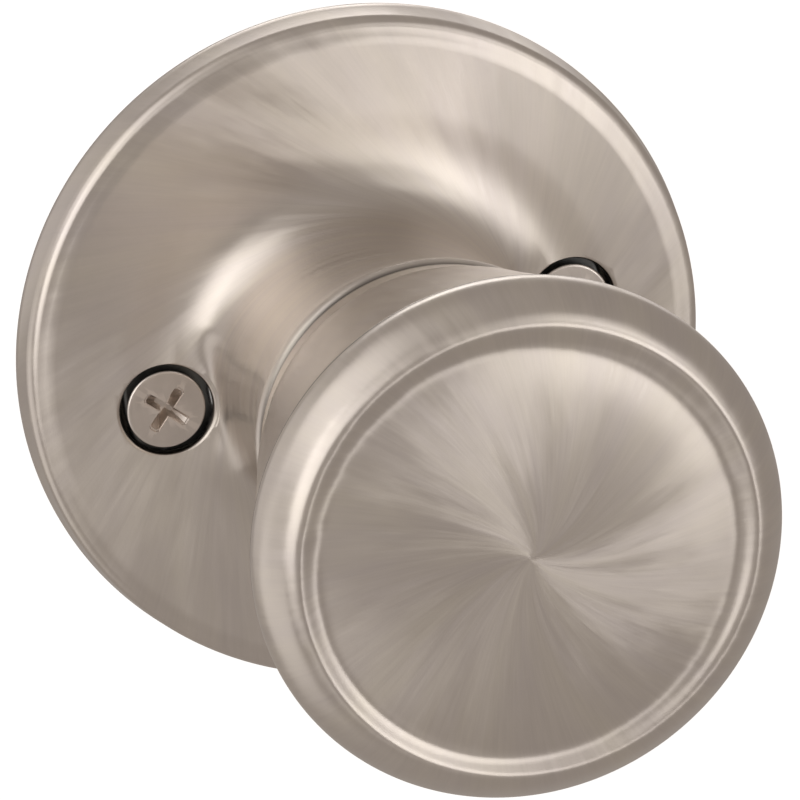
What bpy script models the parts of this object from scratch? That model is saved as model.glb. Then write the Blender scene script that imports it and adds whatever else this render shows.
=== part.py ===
"""Round door knob on a trumpet rose: the room-side half of a tubular knob set.

The pieces are drawn in the lock's own frame: +Z points out of the door along the
knob's axis, +X to the right and +Y up. The empty door_frame then turns that frame
so that the door's face is the plane Y = 0, the knob points to -Y and +Z is up.
Outlines are (radius, height) pairs in millimetres, listed from the top of the
outer side downwards. Heights are measured out of the door's face.
"""

import math

import bmesh
import bpy
from mathutils import Matrix

MM = 0.001
GAP = 0.3                      # clearance between neighbouring pieces
MARGIN = 1.0                   # how far a cutter reaches past the piece it cuts
SHELL_SIDES = 40               # facets round the rose and the knob's shells
INNER_SIDES = 32               # facets round the turned pieces inside
SMALL_SIDES = 20               # facets round the screws, rivets and pin
HALF_FACET = 9.0               # turn in degrees that keeps a round cutter's corners off the shells' seams

# Rose: the pressed cover against the door
ROSE_RADIUS = 34.0
ROSE_EDGE_HEIGHT = 4.3
ROSE_EDGE_ROUND = 1.3
ROSE_WALL_DRAFT = 0.4
ROSE_STRAIGHT_WALL = 0.9
ROSE_THICKNESS = 1.0
LIP_RADIUS = 16.9
LIP_ROUND = 1.0
LIP_HEIGHT = 30.5
NECK_LINE = [(16.5, 28.2), (15.0, 23.6), (14.3, 17.5), (14.6, 12.6), (16.2, 7.5), (19.5, 5.75)]

# Fixing screws through the rose
SCREW_OFFSET = 20.6
ROSE_HOLE_RADIUS = 4.5
SCREW_HEAD_RADIUS = 3.9
SCREW_HEAD_TOP = 5.4
SCREW_CONE_HEIGHT = 2.0
SCREW_RIM_HEIGHT = 0.25
SCREW_SHANK_RADIUS = 2.05
SCREW_TIP = -32.6
SCREW_TIP_TAPER = 1.0
SCREW_TIP_RADIUS = 1.35
RECESS_LENGTH = 4.4
RECESS_WIDTH = 0.95
RECESS_DEPTH = 1.7
RECESS_TURN = 45.0

# Steel plate behind the rose
PLATE_RADIUS = 30.0
PLATE_THICKNESS = 1.4
PLATE_RING_TOP = 3.2
PLATE_EDGE_ROUND = 0.5
PLATE_STEP_WIDTH = 0.6
PLATE_LAND_RADIUS = 24.3
PLATE_LAND_TOP = 3.8
PLATE_BORE_RADIUS = 12.0

# Spring cup riveted to the plate
CUP_THICKNESS = 0.8
CUP_FLANGE_RADIUS = 16.2
CUP_WALL_RADIUS = 13.0
CUP_FLOOR = PLATE_LAND_TOP + GAP
CUP_FLOOR_BORE = 8.6
CUP_WALL_TOP = 11.5
STOP_TAB_TOP = 14.4
STOP_TAB_WIDTH = 3.0
STOP_TAB_INNER = 12.25
STOP_TAB_OUTER = 12.75
RIVET_CIRCLE = 14.6
RIVET_SHANK_RADIUS = 0.8
RIVET_HEAD_RADIUS = 1.25
RIVET_HEAD_HEIGHT = 0.7
RIVET_ANGLES = (90.0, 210.0, 330.0)

# Return spring
SPRING_WIRE_RADIUS = 0.6
SPRING_RADIUS = 10.4
SPRING_START = 5.85
SPRING_PITCH = 1.5
SPRING_TURNS = 3
SPRING_POINTS_PER_TURN = 18
SPRING_FOOT_ANGLE = 270.0
SPRING_FOOT_REACH = 14.4
SPRING_BEND = 1.2
SPRING_LEAD_IN = 7.0           # degrees from the foot's bend to the first full coil
SPRING_HOOK_TURN = 6.0         # degrees past the foot at which the upper end hooks into the cam
SPRING_HOOK_RISE = 1.1

# Drive parts that turn with the knob
SLEEVE_RADIUS = 8.0
SLEEVE_BACK = -1.0
SLEEVE_FRONT = 47.2
SPINDLE_SIDE = 7.6
SPINDLE_BACK = -46.0
SPINDLE_FRONT = 42.0
SPINDLE_CHAMFER = 0.6
CROSS_PIN_RADIUS = 1.2
CROSS_PIN_HALF_LENGTH = 7.6
CROSS_PIN_HEIGHT = 38.0
CAM_RADIUS = 13.2
CAM_BOTTOM = 12.1
CAM_TOP = 13.5
CAM_ROOT_RADIUS = 11.6
TURN_LIMIT = 55.0
NOTCH_PLAY = 1.0               # degrees of play between the cam's shoulder and the stop tab
NOTCH_STEPS = 20
CLIP_RADIUS = 11.5
CLIP_BORE = 7.4
CLIP_BOTTOM = 3.0
CLIP_TOP = 3.8
CLIP_MOUTH = 7.0
GROOVE_RADIUS = 7.1

# Bearing in the neck
BUSH_BORE = 8.2
BUSH_RADIUS = 13.0
BUSH_BOTTOM = 15.0
BUSH_FLANGE_RADIUS = 13.8
BUSH_FLANGE_BOTTOM = 26.6
BUSH_TOP = 29.2
WASHER_BORE = 8.4
WASHER_RADIUS = 13.5
WASHER_THICKNESS = 1.0

# Knob: rear bowl, front cap, core and filler
SHANK_RADIUS = 16.9
SHANK_BACK = 31.1
SHANK_STEP = 33.5
BOWL_LINE = [(24.1, 59.7), (22.4, 53.3), (20.95, 47.5), (19.5, 41.6), (18.45, 37.3), (17.15, 33.9)]
BOWL_RIM_RADIUS = 23.2
BOWL_RIM_BOTTOM = 60.1
BOWL_FRONT = 61.4
BOWL_THICKNESS = 1.0
CAP_THICKNESS = 0.8
CAP_DISC = [(0.0, 66.4), (9.0, 66.15)]
CAP_RIM_LINE = [(14.5, 65.65), (17.0, 65.05), (19.0, 64.8), (20.9, 65.6), (22.8, 64.6), (24.0, 63.0), (24.45, 61.2)]
CAP_HEM = [(24.45, 60.3)]
CORE_BORE = SLEEVE_RADIUS + GAP
CORE_SHANK_RADIUS = 15.4
CORE_FLANGE_RADIUS = 18.6
CORE_BACK = 30.8
CORE_SHOULDER = 40.5
CORE_FLANGE_BOTTOM = 45.0
CORE_FRONT = 47.7
FILLER_RADIUS = 21.6
FILLER_HUB_RADIUS = 12.0
FILLER_FILLET = 2.0
FILLER_RIM_BOTTOM = 59.8
FILLER_TOP = 63.3

# Release catch in the shank
CATCH_ANGLE = 156.0
CATCH_HEIGHT = 37.3
SLOT_LENGTH = 6.4
SLOT_WIDTH = 3.6
SLOT_FLOOR = 9.2
SLOT_REACH = 21.0
CATCH_LENGTH = 5.2
CATCH_WIDTH = 2.8
CATCH_SHIFT = -0.2
CATCH_INNER = 11.6
CATCH_OUTER = 17.5
CATCH_BORE_RADIUS = 1.15
CATCH_BORE_WIDTH = 1.0
CATCH_BORE_TOP = 14.2
CATCH_SPRING_RADIUS = 0.45
CATCH_SPRING_WIRE = 0.12
CATCH_SPRING_TURNS = 5
CATCH_SPRING_POINTS_PER_TURN = 8

SATIN_NICKEL = (0.56, 0.51, 0.46)
ZINC_STEEL = (0.62, 0.63, 0.62)
SPRING_STEEL = (0.30, 0.30, 0.31)
DIE_CAST = (0.48, 0.48, 0.47)
NYLON = (0.80, 0.78, 0.72)


# ---------------------------------------------------------------- scene set-up

def clear_scene():
    for old in list(bpy.data.objects):
        bpy.data.objects.remove(old, do_unlink=True)


def new_collection(name):
    collection = bpy.data.collections.new(name)
    bpy.context.scene.collection.children.link(collection)
    return collection


def new_empty(name, parent=None):
    empty = bpy.data.objects.new(name, None)
    empty.parent = parent
    PARTS.objects.link(empty)
    return empty


def metal(name, colour, roughness, metallic=1.0):
    material = bpy.data.materials.new(name)
    material.use_nodes = True
    shader = material.node_tree.nodes["Principled BSDF"]
    shader.inputs["Base Color"].default_value = (*colour, 1.0)
    shader.inputs["Roughness"].default_value = roughness
    shader.inputs["Metallic"].default_value = metallic
    return material


# ---------------------------------------------------------------- outline tools

def arc(centre, radius, start, end, steps):
    """Points on a round stretch, from angle start to angle end in degrees."""
    points = []
    for step in range(steps + 1):
        angle = math.radians(start + (end - start) * step / steps)
        points.append((centre[0] + radius * math.cos(angle), centre[1] + radius * math.sin(angle)))
    return points


def flowing_line(keys, steps):
    """A smooth line through the key points, as a Catmull-Rom curve."""
    padded = [keys[0]] + keys + [keys[-1]]
    points = [keys[0]]
    for first, start, end, last in zip(padded, padded[1:], padded[2:], padded[3:]):
        for step in range(1, steps + 1):
            points.append(tuple(catmull_rom(*ends, step / steps) for ends in zip(first, start, end, last)))
    return points


def catmull_rom(before, start, end, after, share):
    slope = end - before
    curve = 2 * before - 5 * start + 4 * end - after
    jerk = -before + 3 * start - 3 * end + after
    return 0.5 * (2 * start + slope * share + curve * share ** 2 + jerk * share ** 3)


# ---------------------------------------------------------------- solid tools

def add_object(name, data, parent, material=None):
    """Links a piece in the parts collection, or a cutter where there is no material."""
    piece = bpy.data.objects.new(name, data)
    piece.parent = parent
    if material is None:
        CUTTERS.objects.link(piece)
        piece.hide_render = True
        piece.display_type = "WIRE"
    else:
        data.materials.append(material)
        PARTS.objects.link(piece)
    return piece


def turned(name, outline, parent, material=None, sides=INNER_SIDES, closed=True):
    """A turned piece: the outline swept once round the local Z axis."""
    mesh = bpy.data.meshes.new(name)
    vertices = [(radius * MM, 0.0, height * MM) for radius, height in outline]
    edges = [(index, index + 1) for index in range(len(outline) - 1)]
    if closed:
        edges.append((len(outline) - 1, 0))
    mesh.from_pydata(vertices, edges, [])
    piece = add_object(name, mesh, parent, material)
    screw = piece.modifiers.new("turn", "SCREW")
    screw.axis = "Z"
    screw.steps = sides
    screw.render_steps = sides
    screw.use_merge_vertices = True
    screw.merge_threshold = 0.00001
    return piece


def pressed(name, outline, thickness, parent, material, sides=SHELL_SIDES):
    """A turned shell of even thickness: the outline is its outer face."""
    piece = turned(name, outline, parent, material, sides, closed=False)
    solidify = piece.modifiers.new("sheet", "SOLIDIFY")
    solidify.thickness = thickness * MM
    solidify.offset = -1.0
    solidify.use_even_offset = True
    return piece


def round_bar(name, radius, bottom, top, parent, material=None, sides=SMALL_SIDES, tip_radius=None):
    """A cylinder or a cone along the local Z axis, between two heights."""
    mesh = bpy.data.meshes.new(name)
    shape = bmesh.new()
    bmesh.ops.create_cone(
        shape,
        cap_ends=True,
        segments=sides,
        radius1=radius * MM,
        radius2=(radius if tip_radius is None else tip_radius) * MM,
        depth=(top - bottom) * MM,
        matrix=Matrix.Translation((0.0, 0.0, (top + bottom) / 2 * MM)),
    )
    shape.to_mesh(mesh)
    shape.free()
    return add_object(name, mesh, parent, material)


def block(name, low, high, parent, material=None):
    """A box between two corners in millimetres."""
    mesh = bpy.data.meshes.new(name)
    shape = bmesh.new()
    size = [(top - bottom) * MM for bottom, top in zip(low, high)]
    centre = [(top + bottom) / 2 * MM for bottom, top in zip(low, high)]
    place = Matrix.Translation(centre) @ Matrix.Diagonal((*size, 1.0))
    bmesh.ops.create_cube(shape, size=1.0, matrix=place)
    shape.to_mesh(mesh)
    shape.free()
    return add_object(name, mesh, parent, material)


def wire(name, points, radius, parent, material):
    """A round wire along points in millimetres, with closed ends."""
    curve = bpy.data.curves.new(name, "CURVE")
    curve.dimensions = "3D"
    curve.bevel_depth = radius * MM
    curve.bevel_resolution = 2
    curve.use_fill_caps = True
    spline = curve.splines.new("POLY")
    spline.points.add(len(points) - 1)
    for target, point in zip(spline.points, points):
        target.co = (point[0] * MM, point[1] * MM, point[2] * MM, 1.0)
    return add_object(name, curve, parent, material)


def combine(piece, other, operation):
    boolean = piece.modifiers.new(other.name, "BOOLEAN")
    boolean.operation = operation
    boolean.solver = "EXACT"
    boolean.object = other


def cut(piece, *cutters):
    for cutter in cutters:
        combine(piece, cutter, "DIFFERENCE")


def polar(radius, angle, height=0.0):
    turn = math.radians(angle)
    return (radius * math.cos(turn), radius * math.sin(turn), height)


def place(piece, point, turn=0.0):
    """Moves a piece to a point in millimetres and turns it about its local Z axis."""
    piece.location = [value * MM for value in point]
    piece.rotation_euler = (0.0, 0.0, math.radians(turn))
    return piece


# ---------------------------------------------------------------- the fixed half

def rose_outline():
    lip = arc((LIP_RADIUS - LIP_ROUND, LIP_HEIGHT - LIP_ROUND), LIP_ROUND, 90, 0, 3)
    neck = flowing_line(NECK_LINE, 2)
    edge_centre = (ROSE_RADIUS - ROSE_WALL_DRAFT - ROSE_EDGE_ROUND, ROSE_EDGE_HEIGHT - ROSE_EDGE_ROUND)
    edge = arc(edge_centre, ROSE_EDGE_ROUND, 84, 6, 3)
    wall = [(ROSE_RADIUS, ROSE_STRAIGHT_WALL), (ROSE_RADIUS, 0.0)]
    return lip + neck + edge + wall


def screw_seats(prefix, parent, draw):
    """One cutter at each fixing screw; draw makes it on the local Z axis."""
    cutters = []
    for side, offset in (("left", -SCREW_OFFSET), ("right", SCREW_OFFSET)):
        cutters.append(place(draw(f"{prefix}_{side}", parent), (offset, 0.0, 0.0), HALF_FACET))
    return cutters


def make_rose(parent):
    rose = pressed("rose", rose_outline(), ROSE_THICKNESS, parent, NICKEL)
    cut(rose, *screw_seats("rose_hole", parent, rose_hole))


def rose_hole(name, parent):
    return round_bar(name, ROSE_HOLE_RADIUS, PLATE_RING_TOP - MARGIN, SCREW_HEAD_TOP * 2, parent)


def make_plate(parent):
    """A steel dish: a raised land with the countersinks, a 45 degree step, and a turned-down rim."""
    land_bottom = PLATE_LAND_TOP - PLATE_THICKNESS
    ring_bottom = PLATE_RING_TOP - PLATE_THICKNESS
    step_inset = PLATE_THICKNESS * math.tan(math.radians(22.5))
    outline = [
        (PLATE_BORE_RADIUS, PLATE_LAND_TOP),
        (PLATE_LAND_RADIUS, PLATE_LAND_TOP),
        (PLATE_LAND_RADIUS + PLATE_STEP_WIDTH, PLATE_RING_TOP),
        (PLATE_RADIUS - PLATE_EDGE_ROUND, PLATE_RING_TOP),
        (PLATE_RADIUS, PLATE_RING_TOP - PLATE_EDGE_ROUND),
        (PLATE_RADIUS, 0.0),
        (PLATE_RADIUS - PLATE_THICKNESS, 0.0),
        (PLATE_RADIUS - PLATE_THICKNESS, ring_bottom),
        (PLATE_LAND_RADIUS + PLATE_STEP_WIDTH - step_inset, ring_bottom),
        (PLATE_LAND_RADIUS - step_inset, land_bottom),
        (PLATE_BORE_RADIUS, land_bottom),
    ]
    plate = turned("mounting_plate", outline, parent, ZINC)
    cut(plate, *screw_seats("countersink", parent, countersink))
    cut(plate, *rivet_holes("plate", land_bottom, PLATE_LAND_TOP, parent))


def rivet_holes(prefix, bottom, top, parent):
    """One cutter at each rivet, right through a sheet between the two heights."""
    holes = []
    for index, angle in enumerate(RIVET_ANGLES):
        name = f"{prefix}_rivet_hole_{index + 1}"
        hole = round_bar(name, RIVET_SHANK_RADIUS + GAP, bottom - MARGIN, top + MARGIN, parent)
        holes.append(place(hole, polar(RIVET_CIRCLE, angle), HALF_FACET))
    return holes


def countersink(name, parent):
    top = SCREW_HEAD_TOP - SCREW_RIM_HEIGHT
    outline = [
        (0.0, top),
        (SCREW_HEAD_RADIUS + GAP, top),
        (SCREW_SHANK_RADIUS + GAP, top - SCREW_CONE_HEIGHT),
        (SCREW_SHANK_RADIUS + GAP, 0.0),
        (0.0, 0.0),
    ]
    return turned(name, outline, parent, sides=SMALL_SIDES, closed=False)


def make_screw(side, parent):
    cone_top = SCREW_HEAD_TOP - SCREW_RIM_HEIGHT
    cone_bottom = cone_top - SCREW_CONE_HEIGHT
    outline = [
        (0.0, SCREW_HEAD_TOP),
        (SCREW_HEAD_RADIUS, SCREW_HEAD_TOP),
        (SCREW_HEAD_RADIUS, cone_top),
        (SCREW_SHANK_RADIUS, cone_bottom),
        (SCREW_SHANK_RADIUS, SCREW_TIP + SCREW_TIP_TAPER),
        (SCREW_TIP_RADIUS, SCREW_TIP),
        (0.0, SCREW_TIP),
    ]
    name = f"mounting_screw_{side}"
    screw = turned(name, outline, parent, ZINC, SMALL_SIDES, closed=False)
    offset = -SCREW_OFFSET if side == "left" else SCREW_OFFSET
    place(screw, (offset, 0.0, 0.0))
    for index in range(2):
        low = (-RECESS_LENGTH / 2, -RECESS_WIDTH / 2, SCREW_HEAD_TOP - RECESS_DEPTH)
        high = (RECESS_LENGTH / 2, RECESS_WIDTH / 2, SCREW_HEAD_TOP + MARGIN)
        arm = block(f"{name}_recess_{index + 1}", low, high, parent)
        cut(screw, place(arm, (offset, 0.0, 0.0), RECESS_TURN + 90.0 * index))


def make_spring_cup(parent):
    floor_top = CUP_FLOOR + CUP_THICKNESS
    wall_bore = CUP_WALL_RADIUS - CUP_THICKNESS
    outline = [
        (CUP_WALL_RADIUS, CUP_WALL_TOP),
        (CUP_WALL_RADIUS, floor_top),
        (CUP_FLANGE_RADIUS, floor_top),
        (CUP_FLANGE_RADIUS, CUP_FLOOR),
        (CUP_FLOOR_BORE, CUP_FLOOR),
        (CUP_FLOOR_BORE, floor_top),
        (wall_bore, floor_top),
        (wall_bore, CUP_WALL_TOP),
    ]
    cup = turned("spring_cup", outline, parent, ZINC)
    tab_low = (-STOP_TAB_WIDTH / 2, STOP_TAB_INNER, CUP_WALL_TOP - MARGIN)
    tab_high = (STOP_TAB_WIDTH / 2, STOP_TAB_OUTER, STOP_TAB_TOP)
    combine(cup, block("stop_tab", tab_low, tab_high, parent), "UNION")
    cut(cup, *rivet_holes("cup", CUP_FLOOR, floor_top, parent))
    half_slot = SPRING_WIRE_RADIUS + GAP
    slot_low = (wall_bore - MARGIN, -half_slot, SPRING_START - half_slot)
    slot_high = (SPRING_FOOT_REACH, half_slot, SPRING_START + half_slot)
    slot = block("cup_spring_slot", slot_low, slot_high, parent)
    cut(cup, place(slot, (0.0, 0.0, 0.0), SPRING_FOOT_ANGLE))


def make_rivets(parent):
    head_bottom = CUP_FLOOR + CUP_THICKNESS + GAP
    tail_top = PLATE_LAND_TOP - PLATE_THICKNESS - GAP
    outline = [
        (0.0, head_bottom + RIVET_HEAD_HEIGHT),
        (RIVET_HEAD_RADIUS * 0.6, head_bottom + RIVET_HEAD_HEIGHT),
        (RIVET_HEAD_RADIUS, head_bottom + RIVET_HEAD_HEIGHT * 0.4),
        (RIVET_HEAD_RADIUS, head_bottom),
        (RIVET_SHANK_RADIUS, head_bottom),
        (RIVET_SHANK_RADIUS, tail_top),
        (RIVET_HEAD_RADIUS, tail_top),
        (RIVET_HEAD_RADIUS, tail_top - RIVET_HEAD_HEIGHT * 0.4),
        (RIVET_HEAD_RADIUS * 0.6, tail_top - RIVET_HEAD_HEIGHT),
        (0.0, tail_top - RIVET_HEAD_HEIGHT),
    ]
    for index, angle in enumerate(RIVET_ANGLES):
        rivet = turned(f"cup_rivet_{index + 1}", outline, parent, ZINC, SMALL_SIDES // 2, closed=False)
        place(rivet, polar(RIVET_CIRCLE, angle))


def make_return_spring(parent):
    """A torsion coil: one foot leaves through the cup's wall, the other hooks up into the cam."""
    points = [
        polar(SPRING_FOOT_REACH, SPRING_FOOT_ANGLE, SPRING_START),
        polar(SPRING_RADIUS + SPRING_BEND, SPRING_FOOT_ANGLE, SPRING_START),
        polar(SPRING_RADIUS + SPRING_BEND * 0.35, SPRING_FOOT_ANGLE + 1.8, SPRING_START),
    ]
    total = 360.0 * SPRING_TURNS
    steps = SPRING_POINTS_PER_TURN * SPRING_TURNS
    for step in range(steps + 1):
        angle = SPRING_FOOT_ANGLE + SPRING_LEAD_IN + (total - SPRING_LEAD_IN) * step / steps
        points.append(polar(SPRING_RADIUS, angle, SPRING_START + SPRING_PITCH * SPRING_TURNS * step / steps))
    tail_bottom = SPRING_START + SPRING_PITCH * SPRING_TURNS
    hook_angle = SPRING_FOOT_ANGLE + SPRING_HOOK_TURN
    half_way = SPRING_FOOT_ANGLE + SPRING_HOOK_TURN * 0.7
    points.append(polar(SPRING_RADIUS, half_way, tail_bottom + SPRING_HOOK_RISE * 0.3))
    points.append(polar(SPRING_RADIUS, hook_angle, tail_bottom + SPRING_HOOK_RISE))
    points.append(polar(SPRING_RADIUS, hook_angle, CAM_TOP - 0.2))
    wire("return_spring", points, SPRING_WIRE_RADIUS, parent, SPRING)


def make_neck_bearing(parent):
    outline = [
        (BUSH_BORE, BUSH_TOP),
        (BUSH_FLANGE_RADIUS, BUSH_TOP),
        (BUSH_FLANGE_RADIUS, BUSH_FLANGE_BOTTOM),
        (BUSH_RADIUS, BUSH_FLANGE_BOTTOM - (BUSH_FLANGE_RADIUS - BUSH_RADIUS)),
        (BUSH_RADIUS, BUSH_BOTTOM),
        (BUSH_BORE, BUSH_BOTTOM),
    ]
    turned("collar_bush", outline, parent, PLASTIC)
    washer_bottom = BUSH_TOP + GAP
    washer_top = washer_bottom + WASHER_THICKNESS
    outline = [
        (WASHER_BORE, washer_top),
        (WASHER_RADIUS, washer_top),
        (WASHER_RADIUS, washer_bottom),
        (WASHER_BORE, washer_bottom),
    ]
    turned("thrust_washer", outline, parent, ZINC)


# ---------------------------------------------------------------- the turning half

def bowl_outline():
    rim = [(BOWL_RIM_RADIUS, BOWL_FRONT), (BOWL_RIM_RADIUS, BOWL_RIM_BOTTOM)]
    shank = [(SHANK_RADIUS, SHANK_STEP), (SHANK_RADIUS, SHANK_BACK)]
    return rim + flowing_line(BOWL_LINE, 2) + shank


def cap_outline():
    return CAP_DISC + flowing_line(CAP_RIM_LINE, 2) + CAP_HEM


def catch_window(name, inner, outer):
    low = (inner, -SLOT_LENGTH / 2, CATCH_HEIGHT - SLOT_WIDTH / 2)
    high = (outer, SLOT_LENGTH / 2, CATCH_HEIGHT + SLOT_WIDTH / 2)
    return block(name, low, high, CATCH_GUIDE)


def make_knob_shells(parent):
    bowl = pressed("knob_bowl", bowl_outline(), BOWL_THICKNESS, parent, NICKEL)
    cut(bowl, catch_window("shank_slot", CORE_SHANK_RADIUS - MARGIN, SLOT_REACH))
    pressed("knob_face", cap_outline(), CAP_THICKNESS, parent, NICKEL)


def make_knob_core(parent):
    outline = [
        (CORE_BORE, CORE_FRONT),
        (CORE_FLANGE_RADIUS, CORE_FRONT),
        (CORE_FLANGE_RADIUS, CORE_FLANGE_BOTTOM),
        (CORE_SHANK_RADIUS, CORE_SHOULDER),
        (CORE_SHANK_RADIUS, CORE_BACK),
        (CORE_BORE, CORE_BACK),
    ]
    core = turned("knob_core", outline, parent, CASTING)
    cut(core, catch_window("catch_pocket", SLOT_FLOOR, CORE_SHANK_RADIUS + MARGIN))


def make_face_filler(parent):
    outline = [
        (0.0, FILLER_TOP),
        (FILLER_RADIUS, FILLER_TOP),
        (FILLER_RADIUS, FILLER_RIM_BOTTOM),
        (FILLER_HUB_RADIUS + FILLER_FILLET, FILLER_RIM_BOTTOM),
        (FILLER_HUB_RADIUS, FILLER_RIM_BOTTOM - FILLER_FILLET),
        (FILLER_HUB_RADIUS, CORE_FRONT + GAP),
        (0.0, CORE_FRONT + GAP),
    ]
    turned("face_filler", outline, parent, PLASTIC, closed=False)


def make_drive(parent):
    outline = [
        (0.0, SLEEVE_FRONT),
        (SLEEVE_RADIUS, SLEEVE_FRONT),
        (SLEEVE_RADIUS, CLIP_TOP + GAP),
        (GROOVE_RADIUS, CLIP_TOP + GAP),
        (GROOVE_RADIUS, CLIP_BOTTOM - GAP),
        (SLEEVE_RADIUS, CLIP_BOTTOM - GAP),
        (SLEEVE_RADIUS, SLEEVE_BACK),
        (0.0, SLEEVE_BACK),
    ]
    sleeve = turned("drive_sleeve", outline, parent, CASTING, closed=False)
    half_bore = SPINDLE_SIDE / 2 + GAP
    bore_low = (-half_bore, -half_bore, SLEEVE_BACK - MARGIN)
    bore_high = (half_bore, half_bore, SLEEVE_FRONT + MARGIN)
    cut(sleeve, block("sleeve_bore", bore_low, bore_high, parent))

    half_side = SPINDLE_SIDE / 2
    spindle_low = (-half_side, -half_side, SPINDLE_BACK)
    spindle_high = (half_side, half_side, SPINDLE_FRONT)
    spindle = block("spindle", spindle_low, spindle_high, parent, ZINC)
    chamfer = spindle.modifiers.new("chamfer", "BEVEL")
    chamfer.width = SPINDLE_CHAMFER * MM
    chamfer.segments = 1
    chamfer.limit_method = "ANGLE"

    hole_reach = SLEEVE_RADIUS + MARGIN
    hole = round_bar("pin_hole", CROSS_PIN_RADIUS + GAP, -hole_reach, hole_reach, parent)
    reach = CROSS_PIN_HALF_LENGTH
    pin = round_bar("spindle_pin", CROSS_PIN_RADIUS, -reach, reach, parent, ZINC)
    for bar in (hole, pin):
        bar.location = (0.0, 0.0, CROSS_PIN_HEIGHT * MM)
        bar.rotation_euler = (0.0, math.radians(90.0), 0.0)
    cut(sleeve, hole)
    cut(spindle, hole)


def make_driver_cam(parent):
    """A disc whose wide notch lets it turn until a shoulder meets the cup's stop tab."""
    tab_half_angle = math.degrees(math.atan2(STOP_TAB_WIDTH / 2, CUP_WALL_RADIUS - CUP_THICKNESS))
    notch_half_angle = TURN_LIMIT + tab_half_angle + NOTCH_PLAY
    bore = SLEEVE_RADIUS + GAP
    outline = [(bore, CAM_TOP), (CAM_RADIUS, CAM_TOP), (CAM_RADIUS, CAM_BOTTOM), (bore, CAM_BOTTOM)]
    cam = turned("driver_cam", outline, parent, ZINC)

    notch_start = 90.0 - notch_half_angle
    notch_end = 90.0 + notch_half_angle
    notch_outline = arc((0.0, 0.0), CAM_ROOT_RADIUS, notch_start, notch_end, NOTCH_STEPS)
    notch_outline += arc((0.0, 0.0), CAM_RADIUS * 1.6, notch_end, notch_start, NOTCH_STEPS)
    mesh = bpy.data.meshes.new("cam_notch")
    shape = bmesh.new()
    corners = [shape.verts.new((x * MM, y * MM, (CAM_BOTTOM - MARGIN) * MM)) for x, y in notch_outline]
    face = shape.faces.new(corners)
    walls = bmesh.ops.extrude_face_region(shape, geom=[face])
    top = [item for item in walls["geom"] if isinstance(item, bmesh.types.BMVert)]
    bmesh.ops.translate(shape, vec=(0.0, 0.0, (CAM_TOP - CAM_BOTTOM + 2 * MARGIN) * MM), verts=top)
    bmesh.ops.recalc_face_normals(shape, faces=shape.faces)
    shape.to_mesh(mesh)
    shape.free()
    hook_place = polar(SPRING_RADIUS, SPRING_FOOT_ANGLE + SPRING_HOOK_TURN)
    hook = round_bar("cam_hook_hole", SPRING_WIRE_RADIUS + GAP, CAM_BOTTOM - MARGIN, CAM_TOP + MARGIN, parent)
    cut(cam, add_object("cam_notch", mesh, parent), place(hook, hook_place))


def make_retaining_clip(parent):
    outline = [
        (CLIP_BORE, CLIP_TOP),
        (CLIP_RADIUS, CLIP_TOP),
        (CLIP_RADIUS, CLIP_BOTTOM),
        (CLIP_BORE, CLIP_BOTTOM),
    ]
    clip = turned("retaining_clip", outline, parent, SPRING)
    mouth_low = (-CLIP_MOUTH / 2, -CLIP_RADIUS - MARGIN, CLIP_BOTTOM - MARGIN)
    mouth_high = (CLIP_MOUTH / 2, 0.0, CLIP_TOP + MARGIN)
    cut(clip, block("clip_mouth", mouth_low, mouth_high, parent))


# ---------------------------------------------------------------- the release catch

def make_catch():
    """The local X axis of CATCH_GUIDE is the catch's line of travel, outwards."""
    half_width = CATCH_WIDTH / 2
    low = (CATCH_INNER, CATCH_SHIFT - CATCH_LENGTH / 2, CATCH_HEIGHT - half_width)
    high = (CATCH_OUTER, CATCH_SHIFT + CATCH_LENGTH / 2, CATCH_HEIGHT + half_width)
    catch = block("knob_catch", low, high, CATCH_GUIDE, ZINC)
    bore_low = (CATCH_INNER - MARGIN, CATCH_SHIFT - CATCH_BORE_RADIUS, CATCH_HEIGHT - CATCH_BORE_WIDTH)
    bore_high = (CATCH_BORE_TOP, CATCH_SHIFT + CATCH_BORE_RADIUS, CATCH_HEIGHT + CATCH_BORE_WIDTH)
    cut(catch, block("catch_bore", bore_low, bore_high, CATCH_GUIDE))

    start = SLOT_FLOOR + GAP + CATCH_SPRING_WIRE
    end = CATCH_BORE_TOP - GAP - CATCH_SPRING_WIRE
    steps = CATCH_SPRING_TURNS * CATCH_SPRING_POINTS_PER_TURN
    points = []
    for step in range(steps + 1):
        across, along, _ = polar(CATCH_SPRING_RADIUS, 360.0 * step / CATCH_SPRING_POINTS_PER_TURN)
        points.append((start + (end - start) * step / steps, CATCH_SHIFT + across, CATCH_HEIGHT + along))
    wire("catch_spring", points, CATCH_SPRING_WIRE, CATCH_GUIDE, SPRING)


clear_scene()
PARTS = new_collection("door_knob")
CUTTERS = new_collection("door_knob_cutters")
NICKEL = metal("satin_nickel", SATIN_NICKEL, 0.32)
ZINC = metal("zinc_plated_steel", ZINC_STEEL, 0.38)
SPRING = metal("spring_steel", SPRING_STEEL, 0.30)
CASTING = metal("die_cast_zinc", DIE_CAST, 0.50)
PLASTIC = metal("nylon", NYLON, 0.45, 0.0)

DOOR_FRAME = new_empty("door_frame")
DOOR_FRAME.rotation_euler = (math.radians(90.0), 0.0, 0.0)
KNOB_AXIS = new_empty("knob_axis", DOOR_FRAME)
CATCH_GUIDE = new_empty("catch_guide", KNOB_AXIS)
CATCH_GUIDE.rotation_euler = (0.0, 0.0, math.radians(CATCH_ANGLE))

make_rose(DOOR_FRAME)
make_plate(DOOR_FRAME)
make_screw("left", DOOR_FRAME)
make_screw("right", DOOR_FRAME)
make_spring_cup(DOOR_FRAME)
make_rivets(DOOR_FRAME)
make_return_spring(DOOR_FRAME)
make_neck_bearing(DOOR_FRAME)

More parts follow.
